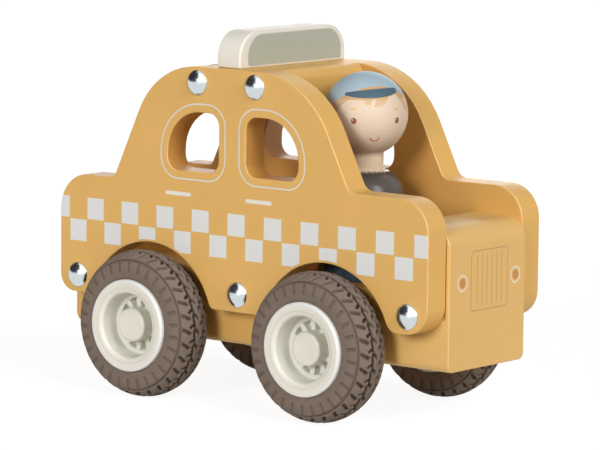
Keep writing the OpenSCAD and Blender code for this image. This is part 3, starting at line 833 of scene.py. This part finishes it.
# %% Draw half of the section
TREAD_R, HALF_TREAD, TREAD_ROWS = 12.89, 7.7, 28
CREASE = ((27.75, 7.84), (27.5, 7.95), (27.25, 7.96), (27.05, 7.88), (26.9, 7.84), (26.75, 7.98),
          (26.62, 8.3), (26.55, 8.65), (26.5, 8.9))
CREASE_R = 26.9
WALL_RADII = (26.48, 26.38, 26.25, 26.1, 25.8, 25.1, 24.3, 23.5, 22.9, 22.6, 22.45, 22.3, 22.15,
              21.9, 21.0, 20.0, 19.1)
WALL_MIDDLE, WALL_HALF, WALL_BULGE, WALL_W = 22.85, 3.75, 0.7, 9.8
BEAD_R, SEAT_R, BEAD_W = 19.1, 17.6, 8.6


def half_section():
    """Rows of the outer half: radius, width and the kind of pattern there."""
    rows = []
    for i in range(1, TREAD_ROWS + 1):
        w = HALF_TREAD * i / TREAD_ROWS
        rows.append((TYRE_R - TREAD_R + math.sqrt(TREAD_R ** 2 - w ** 2), w, "tread"))
    rows += [(r, w, "crease") for r, w in CREASE]
    round_r = (WALL_HALF ** 2 + WALL_BULGE ** 2) / (2 * WALL_BULGE)
    rows += [(r, WALL_W - round_r + math.sqrt(round_r ** 2 - (r - WALL_MIDDLE) ** 2), "wall")
             for r in WALL_RADII]
    return rows + [(BEAD_R, BEAD_W, "plain"), (SEAT_R, BEAD_W, "plain")]


half = half_section()
section = [(r, -w, kind) for r, w, kind in reversed(half)] + [(TYRE_R, 0.0, "tread")] + half
print("the section has", len(section), "rows and is", 2 * WALL_W, "mm wide")

# %% [markdown]
# The grid takes the section round by one pitch. Each point is pushed in by its depth, square to the
# tread or straight into the sidewall. The far half is the mirror of the near one, set on by half a pitch.

# %% Lay one pitch of grid over the section
WALL_DEEP = 0.55
COLUMNS = 20


def push_in(r, w, kind, share):
    """Radius, width and painted shade of a point of the section, at this share of a pitch."""
    turn = (share + (0.5 if w < 0 else 0)) % 1.0 * PITCH
    turn = turn - PITCH if turn > 0.75 * PITCH else turn
    if kind == "tread":
        deep = tread_depth(turn, abs(w))
        lean = math.asin(w / TREAD_R)
        # painted shade: the depth as a share of the deepest cut
        return r - deep * math.cos(lean), w - deep * math.sin(lean), deep / DEEPEST
    if kind == "crease":
        # painted shade and dust: darker in the crease
        return r, w, max(0.0, 0.6 - abs(r - CREASE_R) / 0.8)
    if kind == "wall":
        cut = wall_cut(turn % PITCH, r)
        # painted shade on the walls of the sidewall's slot, and a little on its floor
        return r, w - math.copysign(WALL_DEEP * cut, w), 2.2 * cut * (1 - cut) + 0.12 * cut
    return r, w, 0.0


def pitch_grid(out):
    """One pitch of tyre about the axle, with its outer side towards out along y."""
    points, shades = [], []
    for c in range(COLUMNS + 1):
        share = c / COLUMNS - 0.25
        angle = 2 * math.pi * share / LUGS
        for row in section:
            r, w, dark = push_in(*row, share)
            points.append((r * math.cos(angle) * MM, out * w * MM, r * math.sin(angle) * MM))
            shades.append(dark)
    n = len(section)
    faces = [(c * n + i, c * n + (i + 1) % n, c * n + n + (i + 1) % n, c * n + n + i)
             for c in range(COLUMNS) for i in range(n)]
    mesh = bpy.data.meshes.new("pitch")
    mesh.from_pydata(points, [], faces if out > 0 else [f[::-1] for f in faces])
    mesh.attributes.new("groove", "FLOAT", "POINT").data.foreach_set("value", shades)
    return mesh


print("a tyre has", LUGS * COLUMNS * len(section), "faces to come")

# %% [markdown]
# The rubber is a matt taupe with a fine tooth and a slow bloom. Where the grid was pushed in, the kept
# depth darkens it with painted shade and dust, so the grooves stay dark in any light.

# %% Colour the rubber
rubber, spot = new_finish("taupe_rubber")
groove = spot.node("ShaderNodeAttribute", {"attribute_name": "groove"}, out="Fac")
tooth = grain(spot, 3.5, 3.0)
taupe = tint(grain(spot, 0.12, 3.0), srgb(111, 97, 87), srgb(124, 110, 99))
taupe = tint(0.25 * tooth, taupe, srgb(142, 129, 119))
# painted shade and dust: the kept depth darkens the grooves
close_finish(spot, tooth, 0.04, Base_Color=tint(0.95 * groove, taupe, srgb(34, 26, 22)),
             Roughness=0.68 + 0.16 * tooth, Specular_IOR_Level=0.2)
print("finishes so far:", len(bpy.data.materials))

# %% [markdown]
# The tree puts one point at the hub for each pitch and turns what stands there by the point's number.
# The ends of neighbouring pitches fall on each other and are joined, so a tyre is one closed skin.

# %% Turn the pitch into four tyres
TYRE_Y = 41.3
tyres, ids, given = new_tree("tyre_pitches", Lugs="NodeSocketInt", Hub="NodeSocketVector",
                             Rubber="NodeSocketMaterial")
start = Wire(tyres)
lugs = start.node("GeometryNodePoints", values={"Count": given["Lugs"], "Position": given["Hub"]})
turned = start.node("GeometryNodeInputIndex") * (2 * math.pi) / given["Lugs"]
turn = start.node("FunctionNodeEulerToRotation", values={
    "Euler": start.node("ShaderNodeCombineXYZ", values={"Y": turned})})
end_tree(lugs, given["Geometry"], given["Rubber"], turn)

for end, flank in CORNERS:
    out = -1 if flank == "right" else 1
    hub = Vector((HUBS[end], out * TYRE_Y, TYRE_R)) * MM
    mesh = grow(pitch_grid(out), tyres, ids, Lugs=LUGS, Hub=hub, Rubber=rubber)
    tyre = hand_over(mesh, f"treaded_tyre_{end}_{flank}", rubber, f"tyre_{end}_{flank}")
    print(tyre.name, len(mesh.polygons), "faces")

# %% [markdown]
# ## The driver
# The driver is a peg doll: one turned piece of wood with all its clothes in paint. The lathe gives the
# body, the neck and the head as one closed shape: a foot with a small round, a tapered coat, shoulders
# that fall in a quarter oval, a straight neck and a ball.

# %% Turn the doll
doll_x, foot_z, foot_r, foot_round = 35.8, 50.0, 19.6, 1.0
coat_h, taper = 36.0, 3.4
shoulder_r, shoulder_h, neck_r, neck_h = 8.7, 11.6, 7.5, 47.9
head_z, head_r = 120.4, 17.2


def steps(count, last=True):
    """Even shares from 0 to 1, without the 0 and, where last is False, without the 1."""
    return [i / count for i in range(1, count + last)]


head_h = head_z - foot_z
neck_angle = -math.acos(neck_r / head_r)
chin_h = head_h + head_r * math.sin(neck_angle)
profile = [(0, 0), (12, 0), (18.2, 0)]  # the flat under the foot
profile += [(foot_r - foot_round + foot_round * math.sin(math.pi / 2 * s),
             foot_round - foot_round * math.cos(math.pi / 2 * s)) for s in steps(5)]
profile += [(foot_r - taper * s, foot_round + (coat_h - foot_round) * s) for s in steps(16)]
profile += [(neck_r + shoulder_r * math.cos(math.pi / 2 * s),
             coat_h + shoulder_h * math.sin(math.pi / 2 * s)) for s in steps(14)]
profile += [(neck_r, neck_h + (chin_h - neck_h) * s) for s in steps(4, last=False)]
profile += [(head_r * math.cos(a), head_h + head_r * math.sin(a))
            for a in (neck_angle + (math.pi / 2 - neck_angle) * s
                      for s in [0.0] + steps(44, last=False))]
profile += [(0, head_h + head_r)]
doll = lathe(profile, 96, lambda u, v, h: ((doll_x + u) * MM, v * MM, (foot_z + h) * MM))
print("doll stands", round(max(v.co.z for v in doll.vertices) / MM, 1), "mm above the ground")

# %% [markdown]
# The paint is read from height on the body and from two angles on the head: yaw round it from the way
# the face looks, and pitch up from its middle. Each feature of the face is a small shape about one place
# there. The angles are turned into millimetres, so that an eye or a brow is drawn by its own size.

# %% Find a place on the head
doll_paint, spot = new_finish("doll_paint")
x, y, z = axes(spot)
face_yaw = math.radians(38.5)
ahead = (x - doll_x) * math.cos(face_yaw) - y * math.sin(face_yaw)
aside = -y * math.cos(face_yaw) - (x - doll_x) * math.sin(face_yaw)
yaw = x.sum("ARCTAN2", aside, ahead) * (180 / math.pi)
pitch = x.sum("ARCSINE", ((z - head_z) / head_r | -1.0) & 1.0) * (180 / math.pi)
MM_PER_DEGREE = math.pi * head_r / 180


def at(yaw_0, pitch_0):
    """Millimetres to the side of a place on the head and up from it."""
    per_yaw = MM_PER_DEGREE * math.cos(math.radians(pitch_0))
    return (yaw - yaw_0) * per_yaw, (pitch - pitch_0) * MM_PER_DEGREE


def blot(yaw_0, pitch_0, wide, tall, soft=0.2):
    """An oval of paint with these half sizes."""
    u, v = at(yaw_0, pitch_0)
    return below(length(u / wide, v / tall), 1.0, soft / min(wide, tall))


print("a degree on the head is", round(MM_PER_DEGREE, 2), "mm")

# %% [markdown]
# The skin is a pale paint that shows more of the wood under the chin. Hair is brushed over it down to
# one edge line in degrees: flat over the brow, falling at the temples and round the back, with two
# strands that hang lower. The brush leaves the strands thinner than the hair by the cap.

# %% Paint the skin and the hair
stroke = grain(spot, 1.1, 3.0)
skin = tint(grain(spot, 0.12, 3.0), srgb(221, 203, 181), srgb(227, 210, 191))
skin = tint(0.5 * grain(spot, 2.4, 2.0), skin, srgb(211, 186, 160))
bare = below(pitch, -28.0, 40.0) * above(grain(spot, 2.2, 2.0), 0.56, 0.1)
skin = tint(0.45 * bare, skin, srgb(186, 150, 114))

temple, back_low = (yaw - 36) | 0.0, -25.0
hair_low = 23.5 - 0.045 * temple * temple + 0.18 * ((5 - yaw) | 0.0) - 2.0 * ((-39.3 - yaw) | 0.0)
hair_low = hair_low | (6.8 - ((abs(yaw) - 60) | 0.0) * 0.87) | back_low
hair_low = hair_low - 6.3 * within(yaw - 0.2 * (pitch - 20), 5.6, 15.4, 3.0)
past_strand = (-3 - yaw) | 0.0
strand = 14.8 + 0.034 * past_strand * past_strand + 30 * above(yaw + 0.45 * (pitch - 16), 2.6, 2.0)
hair = above(pitch + 2.4 * (stroke - 0.5), hair_low & strand, 1.6)
by_cap = above(pitch + 6 * stroke, 27.0, 4.0)
tan = tint(stroke, srgb(190, 147, 97), srgb(212, 174, 127))
head = tint(hair * (0.64 + 0.36 * by_cap), skin, tan)
print("hair falls to", back_low, "degrees at the back")

# %% [markdown]
# The cap covers the crown down to a line that is highest over the brow and falls with the cosine of the
# yaw, as a cap does that is pushed back. The visor is a crescent between two bent lines; its height
# shrinks to nothing over the last degrees, so both ends are round.

# %% Paint the cap and the visor
yaw_rad = yaw * (math.pi / 180)
cap_low = (8 + 37 * yaw_rad.cos() - 4.3 * yaw_rad.sin()) | 6.0
head = tint(above(pitch, cap_low, 0.8), head, tint(stroke, srgb(155, 179, 194), srgb(169, 191, 206)))

visor_yaw, visor_flat, visor_round = 0.6, 45.6, 3.4
visor_low = 26.7 - 0.0516 * yaw + 0.00235 * yaw * yaw
visor_high = 40.6 - 0.076 * yaw - 0.00134 * yaw * yaw
toward_end = ((abs(yaw - visor_yaw) - visor_flat) | 0.0) / visor_round
visor_half = 0.5 * (visor_high - visor_low) * ((1 - toward_end * toward_end) | 0.0).root()
off_middle = abs(pitch - 0.5 * (visor_low + visor_high))
visor = below(off_middle, visor_half, 0.8) * below(toward_end, 0.97, 0.06)
head = tint(visor, head, tint(stroke, srgb(58, 84, 100), srgb(74, 102, 118)))
print("visor spans", 2 * (visor_flat + visor_round), "degrees")

# %% [markdown]
# Eyes, brows and mouth are small blots and one arc. Each eye has a dark rim and a lighter iris that sits
# a little low, as a fine brush would set them, and a small pale dot as a painted highlight.

# %% Paint the face
EYES = ((30.2, -4.8), (-33.3, -4.8))                # yaw, pitch
BROWS = ((31.0, 11.3, 1.5), (-31.9, 10.1, 1.2))     # yaw, pitch, half width
MOUTH = (-0.4, -27.6)
for yaw_0, pitch_0 in EYES:
    head = tint(blot(yaw_0, pitch_0, 1.13, 1.26), head, srgb(112, 66, 52))
    head = tint(blot(yaw_0 + 0.4, pitch_0 - 0.4, 0.72, 0.85, 0.5), head, srgb(152, 96, 74))
    # painted highlight: a small pale dot on each eye
    head = tint(blot(yaw_0 + 1.3, pitch_0 + 1.4, 0.26, 0.28), head, srgb(226, 198, 178))
for yaw_0, pitch_0, wide in BROWS:
    head = tint(0.85 * blot(yaw_0, pitch_0, wide, 0.6, 0.3), head, srgb(225, 183, 118))
u, v = at(*MOUTH)
smile = ring(length(u, v), 1.97, 0.52) * below(v, -0.4, 0.25)
head = tint(smile, head, srgb(200, 76, 62))
print("the face has", len(EYES), "eyes and", len(BROWS), "brows")

# %% [markdown]
# Below the head are a speckled pale neck, a dark glossy jacket with an uneven painted collar line and
# dark trousers. Their gloss differs, so roughness follows the same masks as the colour.

# %% Paint the clothes and close the finish
chin_z, collar_z, hem_z = 103.5, 97.4, 67.0
jag = (grain(spot, 1.5, 1.0) - 0.5) * 1.8
jacket = below(z + jag, collar_z, 0.12)
trousers = below(z + jag, hem_z, 0.3)
body = tint(above(grain(spot, 2.6, 2.0), 0.62, 0.08), srgb(228, 206, 178), srgb(205, 178, 148))
body = tint(jacket, body, tint(stroke, srgb(79, 72, 67), srgb(92, 84, 79)))
body = tint(trousers, body, tint(stroke, srgb(44, 62, 74), srgb(56, 75, 88)))
brush = grain(spot, 0.9, 3.0, (1, 1, 2.5))
close_finish(spot, stroke * (1 - jacket) + 0.2 * brush * jacket, 0.03,
             Base_Color=tint(above(z, chin_z, 0.5), body, head),
             Roughness=0.45 - 0.22 * jacket + 0.12 * stroke * (1 - jacket), Specular_IOR_Level=0.3)
hand_over(doll, "peg_driver", doll_paint, "driver")
print("driver rides on its own body")

# %% [markdown]
# ## Size
# Easing and painting must not make the car grow.
